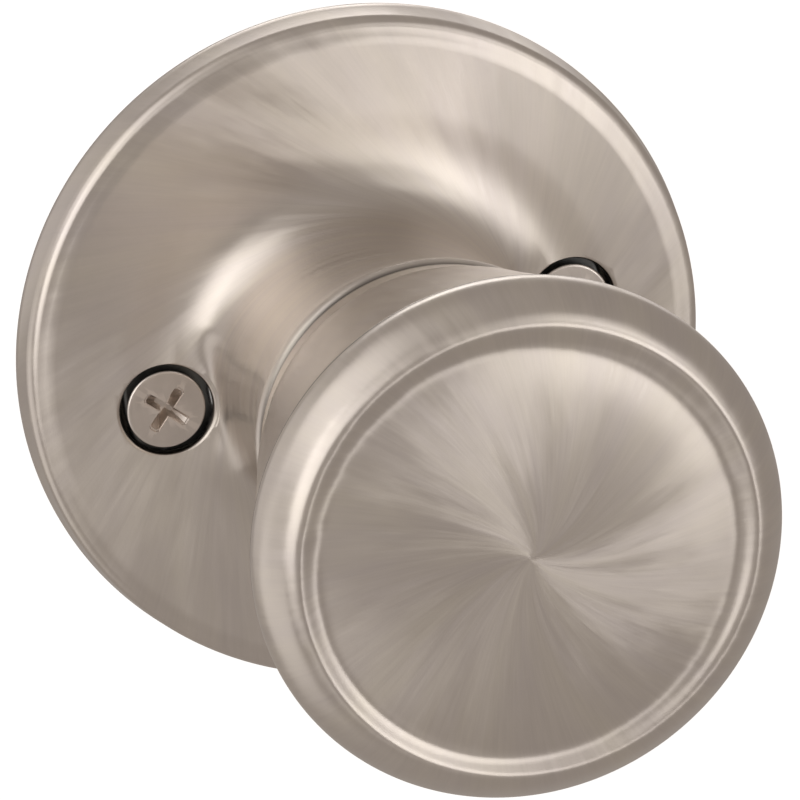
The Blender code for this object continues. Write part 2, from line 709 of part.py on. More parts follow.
make_knob_shells(KNOB_AXIS)
make_knob_core(KNOB_AXIS)
make_face_filler(KNOB_AXIS)
make_drive(KNOB_AXIS)
make_driver_cam(KNOB_AXIS)
make_retaining_clip(KNOB_AXIS)

make_catch()
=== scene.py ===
"""Looks of the satin nickel door knob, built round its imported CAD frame.

The turned pieces are drawn as outlines of (radius, height) in millimetres, where height is the distance out
of the door's face. The knob's axis is the world's -Y direction and the door's face is the plane Y = 0.
"""

import math

import bmesh
import bpy
import numpy as np
from mathutils import Matrix, Vector


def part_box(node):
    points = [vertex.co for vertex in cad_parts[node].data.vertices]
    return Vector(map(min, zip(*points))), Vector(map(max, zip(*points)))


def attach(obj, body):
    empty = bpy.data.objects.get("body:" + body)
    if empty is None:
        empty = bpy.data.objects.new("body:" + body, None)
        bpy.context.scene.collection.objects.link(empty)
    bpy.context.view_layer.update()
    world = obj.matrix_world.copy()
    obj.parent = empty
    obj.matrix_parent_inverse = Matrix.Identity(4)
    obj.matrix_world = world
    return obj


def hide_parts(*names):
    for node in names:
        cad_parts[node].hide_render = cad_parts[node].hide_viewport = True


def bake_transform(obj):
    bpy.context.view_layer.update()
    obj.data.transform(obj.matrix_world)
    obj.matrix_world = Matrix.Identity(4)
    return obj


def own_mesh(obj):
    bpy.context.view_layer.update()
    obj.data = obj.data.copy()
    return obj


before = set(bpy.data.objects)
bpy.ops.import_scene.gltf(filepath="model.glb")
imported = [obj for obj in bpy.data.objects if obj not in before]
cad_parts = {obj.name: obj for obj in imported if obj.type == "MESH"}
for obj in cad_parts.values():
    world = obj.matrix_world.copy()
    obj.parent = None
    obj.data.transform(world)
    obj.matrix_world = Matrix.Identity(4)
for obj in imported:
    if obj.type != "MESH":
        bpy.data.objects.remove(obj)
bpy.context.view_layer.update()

MM = 0.001
FINE_SIDES = 288
SMALL_SIDES = 96
SHARP_ANGLE = math.radians(32.0)
BEVEL_ANGLE = math.radians(40.0)
LONGEST_FACE = 0.8
ON_AXIS = 1e-6


# ---------------------------------------------------------------- measures taken from the frame

def reach(node, axis, side):
    """The lowest (side 0) or highest (side 1) coordinate of a CAD node, in millimetres."""
    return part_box(node)[side][axis] / MM


ROSE_RADIUS = reach("rose", 0, 1)
LIP_TOP = -reach("rose", 1, 0)
CAP_RADIUS = reach("knob_face", 0, 1)
FACE_TOP = -reach("knob_face", 1, 0)
CAP_BACK = -reach("knob_face", 1, 1)
SHANK_BACK = -reach("knob_bowl", 1, 1)
BOWL_FRONT = -reach("knob_bowl", 1, 0)
SCREW_OFFSET = (reach("mounting_screw_right", 0, 0) + reach("mounting_screw_right", 0, 1)) / 2
SCREW_HEAD_RADIUS = (reach("mounting_screw_right", 0, 1) - reach("mounting_screw_right", 0, 0)) / 2
SCREW_TOP = -reach("mounting_screw_right", 1, 0)
SCREW_TIP = -reach("mounting_screw_right", 1, 1)
HOLE_RADIUS = 4.5
LIP_RADIUS = 16.9
FACE_EDGE = 4.3
CATCH_ANGLE = 156.0
CATCH_HEIGHT = -(reach("knob_catch", 1, 0) + reach("knob_catch", 1, 1)) / 2
PIN_HEIGHT = -(reach("spindle_pin", 1, 0) + reach("spindle_pin", 1, 1)) / 2


# ---------------------------------------------------------------- outline tools

def arc(centre, radius, start, end, steps=10):
    """Points on a round stretch, from angle start to angle end in degrees."""
    angles = np.radians(np.linspace(start, end, steps + 1))
    return [(centre[0] + radius * math.cos(a), centre[1] + radius * math.sin(a)) for a in angles]


def smooth_line(keys, start_direction, end_direction, steps=8):
    """A cubic spline through the key points that leaves and arrives along the two directions."""
    points = np.array(keys, float)
    chords = np.linalg.norm(np.diff(points, axis=0), axis=1)
    count = len(points)
    system = np.zeros((count, count))
    right = np.zeros((count, 2))
    system[0, 0] = system[-1, -1] = 1.0
    right[0] = np.array(start_direction) / np.linalg.norm(start_direction)
    right[-1] = np.array(end_direction) / np.linalg.norm(end_direction)
    for index in range(1, count - 1):
        before, after = chords[index - 1], chords[index]
        system[index, index - 1] = after
        system[index, index] = 2 * (before + after)
        system[index, index + 1] = before
        rise_before = (points[index] - points[index - 1]) / before
        rise_after = (points[index + 1] - points[index]) / after
        right[index] = 3 * (after * rise_before + before * rise_after)
    slopes = np.linalg.solve(system, right)
    line = [tuple(points[0])]
    for index, chord in enumerate(chords):
        for step in range(1, steps + 1):
            share = step / steps
            value = (
                (2 * share ** 3 - 3 * share ** 2 + 1) * points[index]
                + (share ** 3 - 2 * share ** 2 + share) * chord * slopes[index]
                + (3 * share ** 2 - 2 * share ** 3) * points[index + 1]
                + (share ** 3 - share ** 2) * chord * slopes[index + 1]
            )
            line.append(tuple(value))
    return line


def soften(corners, size, closed=True, steps=4):
    """The outline with every corner rounded by about the given size; sharp ends stay where it is open."""
    points = []
    count = len(corners)
    for index, corner in enumerate(corners):
        if not closed and index in (0, count - 1):
            points.append(corner)
            continue
        here = np.array(corner, float)
        before = np.array(corners[index - 1], float)
        after = np.array(corners[(index + 1) % count], float)
        back, ahead = before - here, after - here
        reach_back, reach_ahead = np.linalg.norm(back), np.linalg.norm(ahead)
        cut = min(size, 0.45 * reach_back, 0.45 * reach_ahead)
        back, ahead = back / reach_back, ahead / reach_ahead
        start, end = here + back * cut, here + ahead * cut
        points.append(tuple(start + back * 0.1 * cut))
        for step in range(steps + 1):
            share = step / steps
            points.append(tuple((1 - share) ** 2 * start + 2 * share * (1 - share) * here + share ** 2 * end))
        points.append(tuple(end + ahead * 0.1 * cut))
    return points


def offset_inwards(outline, thickness):
    """The outline's inner face: each point moved by the thickness along the sheet's normal."""
    points = np.array(outline, float)
    directions = np.gradient(points, axis=0)
    directions /= np.linalg.norm(directions, axis=1)[:, None]
    normals = np.stack([directions[:, 1], -directions[:, 0]], axis=1)
    inner = points + normals * thickness
    inner[:, 0] = np.maximum(inner[:, 0], 0.0)
    return [tuple(point) for point in inner]


def sheet_outline(outer, thickness):
    """A closed outline round a pressed sheet whose outer face runs from the top downwards."""
    inner = offset_inwards(outer, thickness)
    if outer[0][0] == 0.0:
        inner[0] = (0.0, inner[0][1])
    return outer + inner[::-1]


# ---------------------------------------------------------------- mesh tools

def finished_mesh(name, shape):
    mesh = bpy.data.meshes.new(name)
    shape.to_mesh(mesh)
    shape.free()
    return mesh


def skin(shape, rings):
    """Joins equal rings of vertices into a closed tube."""
    for upper, lower in zip(rings, rings[1:]):
        for side in range(len(upper)):
            after = (side + 1) % len(upper)
            shape.faces.new((upper[side], upper[after], lower[after], lower[side]))
    shape.faces.new(rings[0][::-1])
    shape.faces.new(rings[-1])
    bmesh.ops.recalc_face_normals(shape, faces=shape.faces)


def turned_mesh(name, outline, sides, closed=True):
    """Sweeps an outline round the knob's axis."""
    shape = bmesh.new()
    rings = []
    for radius, height in outline:
        count = 1 if radius < ON_AXIS else sides
        ring = []
        for side in range(count):
            angle = 2 * math.pi * side / sides
            place = (radius * math.cos(angle) * MM, -height * MM, radius * math.sin(angle) * MM)
            ring.append(shape.verts.new(place))
        rings.append(ring)
    pairs = list(zip(rings, rings[1:]))
    if closed:
        pairs.append((rings[-1], rings[0]))
    for upper, lower in pairs:
        if len(upper) == 1 and len(lower) == 1:
            continue
        for side in range(sides):
            after = (side + 1) % sides
            corners = [upper[side % len(upper)], upper[after % len(upper)],
                       lower[after % len(lower)], lower[side % len(lower)]]
            shape.faces.new(list(dict.fromkeys(corners)))
    bmesh.ops.recalc_face_normals(shape, faces=shape.faces)
    return finished_mesh(name, shape)


def brush(piece, outline, swirl, painted_shade):
    """Stores the direction of the brush strokes on a turned piece.

    swirl gives the strokes' angle from the outline's own direction, at a radius. The attribute
    across is the direction across the strokes, and grain holds which stroke a point is on and how far along.
    crevice pairs heights with how strongly shade is painted there, where two pieces meet and the gap between
    them lies in shadow.
    """
    points = np.array(outline, float)
    steps = np.diff(points, axis=0)
    lengths = np.linalg.norm(steps, axis=1)
    run = np.concatenate([[0.0], np.cumsum(lengths)])
    angles = np.array([swirl(out) for out in points[:, 0]])
    rate = np.tan(angles) / np.maximum(points[:, 0], 0.5)
    turn = np.concatenate([[0.0], np.cumsum((rate[1:] + rate[:-1]) / 2 * lengths)])
    mesh = piece.data
    count = len(mesh.vertices)
    places = np.empty(count * 3, np.float32)
    mesh.vertices.foreach_get("co", places)
    places = places.reshape(-1, 3) / MM
    radius = np.hypot(places[:, 0], places[:, 2])
    theta = np.arctan2(places[:, 2], places[:, 0])
    profile = np.stack([radius, -places[:, 1]], axis=1)
    best = np.full(count, np.inf)
    at_run, at_turn, at_angle = np.zeros(count), np.zeros(count), np.zeros(count)
    along = np.zeros((count, 2))
    for index, (start, step, length) in enumerate(zip(points, steps, lengths)):
        share = np.clip(((profile - start) @ step) / length ** 2, 0.0, 1.0)
        distance = np.linalg.norm(profile - start - share[:, None] * step, axis=1)
        closer = distance < best
        best[closer] = distance[closer]
        share = share[closer]
        at_run[closer] = run[index] + share * length
        at_turn[closer] = turn[index] + share * (turn[index + 1] - turn[index])
        at_angle[closer] = angles[index] + share * (angles[index + 1] - angles[index])
        along[closer] = step / length
    outwards = np.stack([np.cos(theta) * along[:, 0], -along[:, 1], np.sin(theta) * along[:, 0]], axis=1)
    around = np.stack([-np.sin(theta), np.zeros(count), np.cos(theta)], axis=1)
    across = np.cos(at_angle)[:, None] * around - np.sin(at_angle)[:, None] * outwards
    stroke = theta - at_turn
    grain = np.stack([np.cos(stroke), at_run / 10.0, np.sin(stroke)], axis=1)
    for name, values in (("across", across), ("grain", grain)):
        attribute = mesh.attributes.new(name, "FLOAT_VECTOR", "POINT")
        attribute.data.foreach_set("vector", values.astype(np.float32).ravel())
    shade = np.interp(profile[:, 1], *painted_shade).astype(np.float32)
    mesh.attributes.new("painted_shade", "FLOAT", "POINT").data.foreach_set("value", shade)


def add_piece(name, mesh, material):
    piece = bpy.data.objects.new(name, mesh)
    bpy.context.scene.collection.objects.link(piece)
    mesh.materials.clear()
    mesh.materials.append(material)
    smooth(mesh)
    return piece


def smooth(mesh):
    mesh.shade_smooth()
    mesh.set_sharp_from_angle(angle=SHARP_ANGLE)


def ringed(outline, closed=True):
    """The same outline with its long straight stretches divided, so that every face stays small."""
    points = []
    ends = outline[1:] + outline[:1] if closed else outline[1:]
    for start, end in zip(outline, ends):
        count = max(1, math.ceil(math.dist(start, end) / LONGEST_FACE))
        for step in range(count):
            share = step / count
            points.append(tuple(a + (b - a) * share for a, b in zip(start, end)))
    return points if closed else points + [outline[-1]]


def turned(name, outline, material, sides=FINE_SIDES, closed=True):
    return add_piece(name, turned_mesh(name, ringed(outline, closed=closed), sides, closed), material)


def block(name, low, high, matrix=Matrix.Identity(4)):
    """A box between two corners in millimetres, placed by the matrix, as a cutter or a blank."""
    shape = bmesh.new()
    size = [(b - a) * MM for a, b in zip(low, high)]
    centre = [(a + b) / 2 * MM for a, b in zip(low, high)]
    place = matrix @ Matrix.Translation(centre) @ Matrix.Diagonal((*size, 1.0))
    bmesh.ops.create_cube(shape, size=1.0, matrix=place)
    return finished_mesh(name, shape)


def combine(piece, mesh, operation):
    """Cuts a mesh out of the piece, or joins it on, and keeps the result."""
    other = bpy.data.objects.new(piece.name + "_tool", mesh)
    bpy.context.scene.collection.objects.link(other)
    boolean = piece.modifiers.new("boolean", "BOOLEAN")
    boolean.operation = operation
    boolean.solver = "EXACT"
    boolean.object = other
    bake_modifiers(piece)
    bpy.data.objects.remove(other)
    return piece


def evaluate(piece):
    """Turns the piece's modifiers into its mesh."""
    depsgraph = bpy.context.evaluated_depsgraph_get()
    baked = bpy.data.meshes.new_from_object(piece.evaluated_get(depsgraph))
    piece.modifiers.clear()
    piece.data = baked
    return piece


def bake_modifiers(piece):
    evaluate(piece)
    smooth(piece.data)
    return piece


def flatten_faces(piece):
    """Lets the large faces set the normals, so that flat sides stay flat beside their rounded edges."""
    weighted = piece.modifiers.new("flat_faces", "WEIGHTED_NORMAL")
    weighted.keep_sharp = True
    return evaluate(piece)


def door_matrix(x, z):
    """Places a mesh drawn round the knob's axis at (x, z) millimetres."""
    return Matrix.Translation((x * MM, 0.0, z * MM))


def ring_matrix(radius, angle):
    """Places a mesh drawn round the knob's axis on a circle about it, at an angle in degrees."""
    turn = math.radians(angle)
    return door_matrix(radius * math.cos(turn), radius * math.sin(turn))


def prism(name, corners, bottom, top, taper=1.0):
    """A flat outline of (x, z) corners raised between two heights; its bottom is smaller by the taper."""
    shape = bmesh.new()
    rings = []
    for height, scale in ((bottom, taper), (top, 1.0)):
        places = [(x * scale * MM, -height * MM, z * scale * MM) for x, z in corners]
        rings.append([shape.verts.new(place) for place in places])
    shape.faces.new(rings[0])
    shape.faces.new(rings[1][::-1])
    for index in range(len(corners)):
        after = (index + 1) % len(corners)
        shape.faces.new((rings[0][index], rings[0][after], rings[1][after], rings[1][index]))
    bmesh.ops.recalc_face_normals(shape, faces=shape.faces)
    return finished_mesh(name, shape)


def bar(name, radius, bottom, top, matrix, sides=SMALL_SIDES):
    """A plain round cutter along the knob's axis, then placed by the matrix."""
    outline = [(0.0, top), (radius, top), (radius, bottom), (0.0, bottom)]
    mesh = turned_mesh(name, outline, sides, closed=False)
    mesh.transform(matrix)
    return mesh


def round_edges(piece, width, segments):
    """Rounds the piece's sharp edges over a width in millimetres."""
    bevel = piece.modifiers.new("edges", "BEVEL")
    bevel.width = width * MM
    bevel.segments = segments
    bevel.limit_method = "ANGLE"
    bevel.angle_limit = BEVEL_ANGLE
    bevel.use_clamp_overlap = True
    return bake_modifiers(piece)


def tube(name, points, radius, sides, material):
    """A round wire along points in millimetres, with closed ends."""
    path = [Vector(point) * MM for point in points]
    shape = bmesh.new()
    guide = Vector((0.0, 1.0, 0.0))
    rings = []
    for index, point in enumerate(path):
        ahead = path[min(index + 1, len(path) - 1)] - path[max(index - 1, 0)]
        ahead.normalize()
        across = guide - ahead * guide.dot(ahead)
        across.normalize()
        other = ahead.cross(across)
        guide = across
        ring = []
        for side in range(sides):
            angle = 2 * math.pi * side / sides
            offset = (across * math.cos(angle) + other * math.sin(angle)) * radius * MM
            ring.append(shape.verts.new(point + offset))
        rings.append(ring)
    skin(shape, rings)
    return add_piece(name, finished_mesh(name, shape), material)


# ---------------------------------------------------------------- materials

def new_material(name):
    material = bpy.data.materials.new(name)
    material.use_nodes = True
    return material, material.node_tree, material.node_tree.nodes["Principled BSDF"]


def node(tree, kind, **settings):
    made = tree.nodes.new(kind)
    for key, value in settings.items():
        setattr(made, key, value)
    return made


def math_node(tree, operation, first, second=None):
    made = node(tree, "ShaderNodeMath", operation=operation)
    for socket, value in zip(made.inputs, (first, second)):
        if value is None:
            continue
        if isinstance(value, (int, float)):
            socket.default_value = value
        else:
            tree.links.new(value, socket)
    return made.outputs[0]


def noise_at(tree, place, scale, detail, roughness=0.5):
    noise = node(tree, "ShaderNodeTexNoise")
    noise.inputs["Scale"].default_value = scale
    noise.inputs["Detail"].default_value = detail
    noise.inputs["Roughness"].default_value = roughness
    tree.links.new(place, noise.inputs["Vector"])
    return noise.outputs["Fac"]


def blended(tree, factor, first, second):
    """A mix of two colours, each given as three numbers or as a socket."""
    made = node(tree, "ShaderNodeMix", data_type="RGBA")
    tree.links.new(factor, made.inputs["Factor"])
    for name, colour in (("A", first), ("B", second)):
        if isinstance(colour, bpy.types.NodeSocket):
            tree.links.new(colour, made.inputs[name])
        else:
            made.inputs[name].default_value = (*colour, 1.0)
    return made.outputs["Result"]


def scaled_colour(colour, level):
    return [min(1.0, part * level) for part in colour]


# Brush strokes: how many cross a turn, how many run along it, and a seed.
BROAD_STROKES = (4.0, 0.6, 3.7)
FINE_STROKES = (30.0, 1.1, 11.3)
HAIR_STROKES = (90.0, 2.2, 23.9)
WANDER_STROKES = (5.0, 0.8, 41.3)


def stroke_noise(tree, across, along, seed):
    """Noise in streaks that follow the brush strokes: fine across them, slow along them."""
    grain = node(tree, "ShaderNodeAttribute", attribute_name="grain").outputs["Vector"]
    scaled = node(tree, "ShaderNodeVectorMath", operation="MULTIPLY_ADD")
    scaled.inputs[1].default_value = (across, along, across)
    scaled.inputs[2].default_value = (seed, seed * 0.7, 0.0)
    tree.links.new(grain, scaled.inputs[0])
    return noise_at(tree, scaled.outputs[0], 1.0, 3.0, 0.6)


def stroke_tangent(tree):
    """The direction across the brush strokes, in world space; it wanders a little from stroke to stroke."""
    across = node(tree, "ShaderNodeAttribute", attribute_name="across").outputs["Vector"]
    turned_over = node(tree, "ShaderNodeVectorTransform", vector_type="VECTOR")
    turned_over.convert_from = "OBJECT"
    turned_over.convert_to = "WORLD"
    tree.links.new(across, turned_over.inputs["Vector"])
    normal = node(tree, "ShaderNodeNewGeometry").outputs["Normal"]
    along = node(tree, "ShaderNodeVectorMath", operation="CROSS_PRODUCT")
    tree.links.new(normal, along.inputs[0])
    tree.links.new(turned_over.outputs["Vector"], along.inputs[1])
    swing = node(tree, "ShaderNodeVectorMath", operation="SCALE")
    tree.links.new(along.outputs[0], swing.inputs[0])
    swings = ranged(tree, stroke_noise(tree, *WANDER_STROKES), -STROKE_WANDER, STROKE_WANDER)
    tree.links.new(swings, swing.inputs["Scale"])
    total = node(tree, "ShaderNodeVectorMath", operation="ADD")
    tree.links.new(turned_over.outputs["Vector"], total.inputs[0])
    tree.links.new(swing.outputs[0], total.inputs[1])
    return total.outputs[0]


def ranged(tree, value, low, high, from_low=0.3, from_high=0.7):
    made = node(tree, "ShaderNodeMapRange")
    made.inputs["From Min"].default_value = from_low
    made.inputs["From Max"].default_value = from_high
    made.inputs["To Min"].default_value = low
    made.inputs["To Max"].default_value = high
    tree.links.new(value, made.inputs["Value"])
    return made.outputs["Result"]


NICKEL_COLOUR = (0.62, 0.565, 0.515)
NICKEL_TINTS = ((0.97, 0.965, 0.985), (1.03, 1.03, 1.0))
NICKEL_ROUGHNESS = 0.35
NICKEL_ANISOTROPY = 0.75
GRAIN_SHADE = 0.05
GRAIN_ROUGHNESS = 0.04
GRAIN_BUMP = 0.35
GRAIN_DEPTH = 0.02 * MM
# How dark the painted shade in gaps between pieces gets, as a share of the colour.
PAINTED_SHADE_DARKEST = 0.12
STROKE_WANDER = 0.3


def painted_shade_level(tree):
    """1 on open surfaces, down to the darkest painted shade where the piece is marked as lying in the shadow
    of a gap.
    """
    painted_shade = node(tree, "ShaderNodeAttribute", attribute_name="painted_shade").outputs["Fac"]
    return ranged(tree, painted_shade, 1.0, PAINTED_SHADE_DARKEST, 0.0, 1.0)


def darkened(tree, colour, level):
    """The colour times a grey level."""
    shade = node(tree, "ShaderNodeCombineColor")
    for channel in shade.inputs[:3]:
        tree.links.new(level, channel)
    product = node(tree, "ShaderNodeMix", data_type="RGBA", blend_type="MULTIPLY")
    product.inputs["Factor"].default_value = 1.0
    tree.links.new(colour, product.inputs["A"])
    tree.links.new(shade.outputs["Color"], product.inputs["B"])
    return product.outputs["Result"]


def add_bump(tree, shader, height, strength):
    bump = node(tree, "ShaderNodeBump")
    bump.inputs["Strength"].default_value = strength
    bump.inputs["Distance"].default_value = GRAIN_DEPTH
    tree.links.new(height, bump.inputs["Height"])
    tree.links.new(bump.outputs["Normal"], shader.inputs["Normal"])


def satin_nickel(name):
    """Nickel plate brushed in fine strokes that run outwards from the axis."""
    material, tree, shader = new_material(name)
    shader.inputs["Metallic"].default_value = 1.0
    shader.inputs["Anisotropic"].default_value = NICKEL_ANISOTROPY
    tree.links.new(stroke_tangent(tree), shader.inputs["Tangent"])
    broad = stroke_noise(tree, *BROAD_STROKES)
    fine = stroke_noise(tree, *FINE_STROKES)
    hair = stroke_noise(tree, *HAIR_STROKES)
    fine_part = math_node(tree, "MULTIPLY", fine, 0.6)
    mixed = math_node(tree, "ADD", fine_part, math_node(tree, "MULTIPLY", hair, 0.4))

    tints = [[c * part for c, part in zip(NICKEL_COLOUR, shift)] for shift in NICKEL_TINTS]
    tint = blended(tree, ranged(tree, broad, 0.0, 1.0), *tints)
    level = ranged(tree, mixed, 1.0 - GRAIN_SHADE, 1.0 + GRAIN_SHADE)
    # Painted shade: the colour is darkened where the piece is marked as lying in a shadowed gap.
    level = math_node(tree, "MULTIPLY", level, painted_shade_level(tree))
    tree.links.new(darkened(tree, tint, level), shader.inputs["Base Color"])

    rough = ranged(tree, mixed, NICKEL_ROUGHNESS - GRAIN_ROUGHNESS, NICKEL_ROUGHNESS + GRAIN_ROUGHNESS)
    tree.links.new(rough, shader.inputs["Roughness"])
    add_bump(tree, shader, mixed, GRAIN_BUMP)
    return material


WORN_POINTINESS = (0.52, 0.60)
WORN_LIGHTER = 1.18
MARK_BUMP = 0.3
MARK_DRIFT = 60.0


def edge_wear(tree):
    """1 on worn outer edges and 0 elsewhere."""
    point = node(tree, "ShaderNodeNewGeometry").outputs["Pointiness"]
    return ranged(tree, point, 0.0, 1.0, *WORN_POINTINESS)


def tool_marks(tree, rings):
    """Fine rings round the knob's axis, as a lathe or a press die leaves them."""
    place = node(tree, "ShaderNodeTexCoord").outputs["Object"]
    flat = node(tree, "ShaderNodeVectorMath", operation="MULTIPLY")
    flat.inputs[1].default_value = (1.0, 0.0, 1.0)
    tree.links.new(place, flat.inputs[0])
    radius = node(tree, "ShaderNodeVectorMath", operation="LENGTH")
    tree.links.new(flat.outputs[0], radius.inputs[0])
    parts = node(tree, "ShaderNodeSeparateXYZ")
    tree.links.new(place, parts.inputs[0])
    line = node(tree, "ShaderNodeCombineXYZ")
    tree.links.new(math_node(tree, "MULTIPLY", radius.outputs["Value"], rings), line.inputs["X"])
    tree.links.new(math_node(tree, "MULTIPLY", parts.outputs["Y"], rings), line.inputs["Y"])
    tree.links.new(math_node(tree, "MULTIPLY", parts.outputs["X"], MARK_DRIFT), line.inputs["Z"])
    return noise_at(tree, line.outputs[0], 1.0, 2.0)


def plain_metal(name, colour, roughness, speckle, scale, rings=0.0):
    """Plated, cast or drawn metal: a cloudy plating, fine tool marks, bright worn edges and painted shade in
    marked gaps.
    """
    material, tree, shader = new_material(name)
    shader.inputs["Metallic"].default_value = 1.0
    place = node(tree, "ShaderNodeTexCoord").outputs["Object"]
    cloud = noise_at(tree, place, scale, 4.0)
    marks = tool_marks(tree, rings) if rings else cloud
    tints = [scaled_colour(colour, 1 - speckle), scaled_colour(colour, 1 + speckle)]
    tint = blended(tree, ranged(tree, cloud, 0.0, 1.0), *tints)
    worn = blended(tree, edge_wear(tree), tint, scaled_colour(colour, WORN_LIGHTER))
    # Painted shade darkens the colour in marked gaps, on top of the worn edges.
    tree.links.new(darkened(tree, worn, painted_shade_level(tree)), shader.inputs["Base Color"])
    tree.links.new(ranged(tree, marks, roughness - 0.05, roughness + 0.07), shader.inputs["Roughness"])
    add_bump(tree, shader, marks, MARK_BUMP)
    return material


def moulded_nylon(name):
    material, tree, shader = new_material(name)
    place = node(tree, "ShaderNodeTexCoord").outputs["Object"]
    noise = noise_at(tree, place, 1500.0, 2.0)
    tint = blended(tree, ranged(tree, noise, 0.0, 1.0), (0.70, 0.68, 0.61), (0.80, 0.78, 0.71))
    tree.links.new(tint, shader.inputs["Base Color"])
    tree.links.new(ranged(tree, noise, 0.42, 0.52), shader.inputs["Roughness"])
    shader.inputs["Subsurface Weight"].default_value = 0.1
    shader.inputs["Subsurface Scale"].default_value = 0.001
    return material


NICKEL = satin_nickel("satin_nickel")
SCREW_METAL = plain_metal("nickel_screw", (0.66, 0.60, 0.55), 0.34, 0.05, 500.0, 2600.0)
ZINC = plain_metal("zinc_steel", (0.62, 0.63, 0.62), 0.36, 0.07, 420.0, 1500.0)
SPRING_METAL = plain_metal("spring_steel", (0.30, 0.30, 0.31), 0.28, 0.12, 1500.0)
CASTING = plain_metal("die_cast", (0.42, 0.41, 0.40), 0.48, 0.12, 1400.0, 700.0)
NYLON = moulded_nylon("nylon")


# ---------------------------------------------------------------- outlines of the visible shells

SHEET = 1.0
CAP_SHEET = 0.8
FACE_START = (19.6, 5.72)
FACE_SLOPE = 0.096


def face_height(radius):
    return FACE_START[1] - (radius - FACE_START[0]) * FACE_SLOPE


def rose_outer():
    """From the inner edge of the lip, over its roll, down the neck, out over the face and down the wall."""
    lip = [(15.4, LIP_TOP), (15.65, LIP_TOP)]
    lip += arc((LIP_RADIUS - 1.0, LIP_TOP - 1.0), 1.0, 90, -8, 14)
    neck = smooth_line([
        lip[-1],
        (16.2, 27.2),
        (15.05, 23.2),
        (14.35, 17.8),
        (14.55, 12.6),
        (15.4, 9.2),
        (17.0, 6.9),
        FACE_START,
        (25.0, face_height(25.0)),
    ], (-0.14, -1.0), (1.0, -FACE_SLOPE), 12)
    edge_round = 1.3
    edge = arc((ROSE_RADIUS - 0.4 - edge_round, FACE_EDGE - edge_round), edge_round, 84, 4, 14)
    face = [(radius, face_height(radius)) for radius in np.linspace(25.5, 31.4, 13)]
    wall = [(ROSE_RADIUS - 0.16, 1.6), (ROSE_RADIUS, 0.8), (ROSE_RADIUS, 0.25), (ROSE_RADIUS - 0.1, 0.0)]
    return lip + neck[1:] + face + edge + wall


def bowl_outer():
    """The rim that the cap is pressed over, a small step, the flared bowl and the shank."""
    rim = [(23.2, BOWL_FRONT), (23.2, 60.4), (23.26, 60.18), (23.45, 60.02), (23.9, 59.92), (24.08, 59.82)]
    bowl = smooth_line([
        (24.12, 59.62),
        (22.4, 53.3),
        (20.95, 47.5),
        (19.5, 41.6),
        (18.45, 37.3),
        (17.3, 34.2),
    ], (-0.26, -1.0), (-0.45, -1.0), 10)
    collar = [(17.05, 33.8), (16.92, 33.5), (16.9, 33.2), (16.9, 31.75)]
    base = arc((16.5, 31.5), 0.4, 0, -80, 6)
    return rim + bowl + collar + base


def cap_outer():
    return smooth_line([
        (0.0, FACE_TOP),
        (5.0, FACE_TOP - 0.1),
        (10.0, FACE_TOP - 0.39),
        (14.0, FACE_TOP - 0.77),
        (16.5, FACE_TOP - 1.09),
        (18.3, FACE_TOP - 1.4),
        (19.4, FACE_TOP - 1.5),
        (20.2, FACE_TOP - 1.25),
        (21.0, FACE_TOP - 0.95),
        (21.9, FACE_TOP - 1.25),
        (22.9, FACE_TOP - 2.15),
        (24.0, FACE_TOP - 3.7),
        (CAP_RADIUS, 61.2),
        (CAP_RADIUS - 0.06, CAP_BACK),
    ], (1.0, 0.0), (-0.12, -1.0), 8)


# ---------------------------------------------------------------- the rose and its screws

STROKE_CIRCLE = 15.0
CAP_SWIRL = math.radians(10.0)
NECK_SWIRL = math.radians(72.0)
SEAT_INNER = 4.9
SEAT_OUTER = 9.5
SEAT_RISE = (0.5, 7.0)
SEAT_FLOOR = 5.0
SEAT_TOP = 14.0
HOLE_ROLL = 0.55
SEAT_TILT = math.atan(FACE_SLOPE)


def rose_swirl(radius):
    """The strokes on the rose's face are tangent to a circle round the neck."""
    return min(NECK_SWIRL, math.asin(min(1.0, STROKE_CIRCLE / max(radius, 0.1))))


def cap_swirl(_radius):
    """The strokes on the knob leave the middle almost straight."""
    return CAP_SWIRL


def eased(value, low, high):
    """0 below low, 1 above high and smooth between."""
    share = min(1.0, max(0.0, (value - low) / (high - low)))
    return share * share * (3 - 2 * share)


def press_seats(mesh):
    """Presses the flare down to the face's own slope round each screw hole, to make the hole's edge level."""
    outline = np.array([point for point in rose_outer() if point[1] < SEAT_TOP])
    for vertex in mesh.vertices:
        x, height, z = vertex.co.x / MM, -vertex.co.y / MM, vertex.co.z / MM
        distance = math.hypot(abs(x) - SCREW_OFFSET, z)
        if distance > SEAT_OUTER or height > SEAT_TOP:
            continue
        radius = math.hypot(x, z)
        top = float(np.interp(radius, outline[:, 0], outline[:, 1]))
        excess = max(top - face_height(radius), 0.0)
        pressed = excess * (1 - eased(excess, *SEAT_RISE)) * (1 - eased(distance, SEAT_INNER, SEAT_OUTER))
        vertex.co.y += min(pressed, max(height - SEAT_FLOOR, 0.0)) * MM


def rose_hole_cutter(side):
    """A round cutter, square to the seat, whose trumpet mouth leaves the sheet's edge rolled over."""
    top = face_height(SCREW_OFFSET) + 0.02
    mouth = HOLE_RADIUS + HOLE_ROLL
    outline = [(0.0, SEAT_TOP), (mouth + 0.1, SEAT_TOP), (mouth + 0.1, top + 0.05)]
    outline += arc((mouth, top - HOLE_ROLL), HOLE_ROLL, 90, 180, 10)
    outline += [(HOLE_RADIUS, 1.0), (0.0, 1.0)]
    mesh = turned_mesh("rose_hole", outline, SMALL_SIDES, closed=False)
    lean = Matrix.Rotation(side * SEAT_TILT, 4, "Z")
    pivot = Matrix.Translation((side * SCREW_OFFSET * MM, -top * MM, 0.0))
    mesh.transform(pivot @ lean @ Matrix.Translation((0.0, top * MM, 0.0)))
    return mesh


# How strongly painted shade is laid on the surface round the screws, where their holes lie in shadow.
GAP_PAINTED_SHADE = 0.85


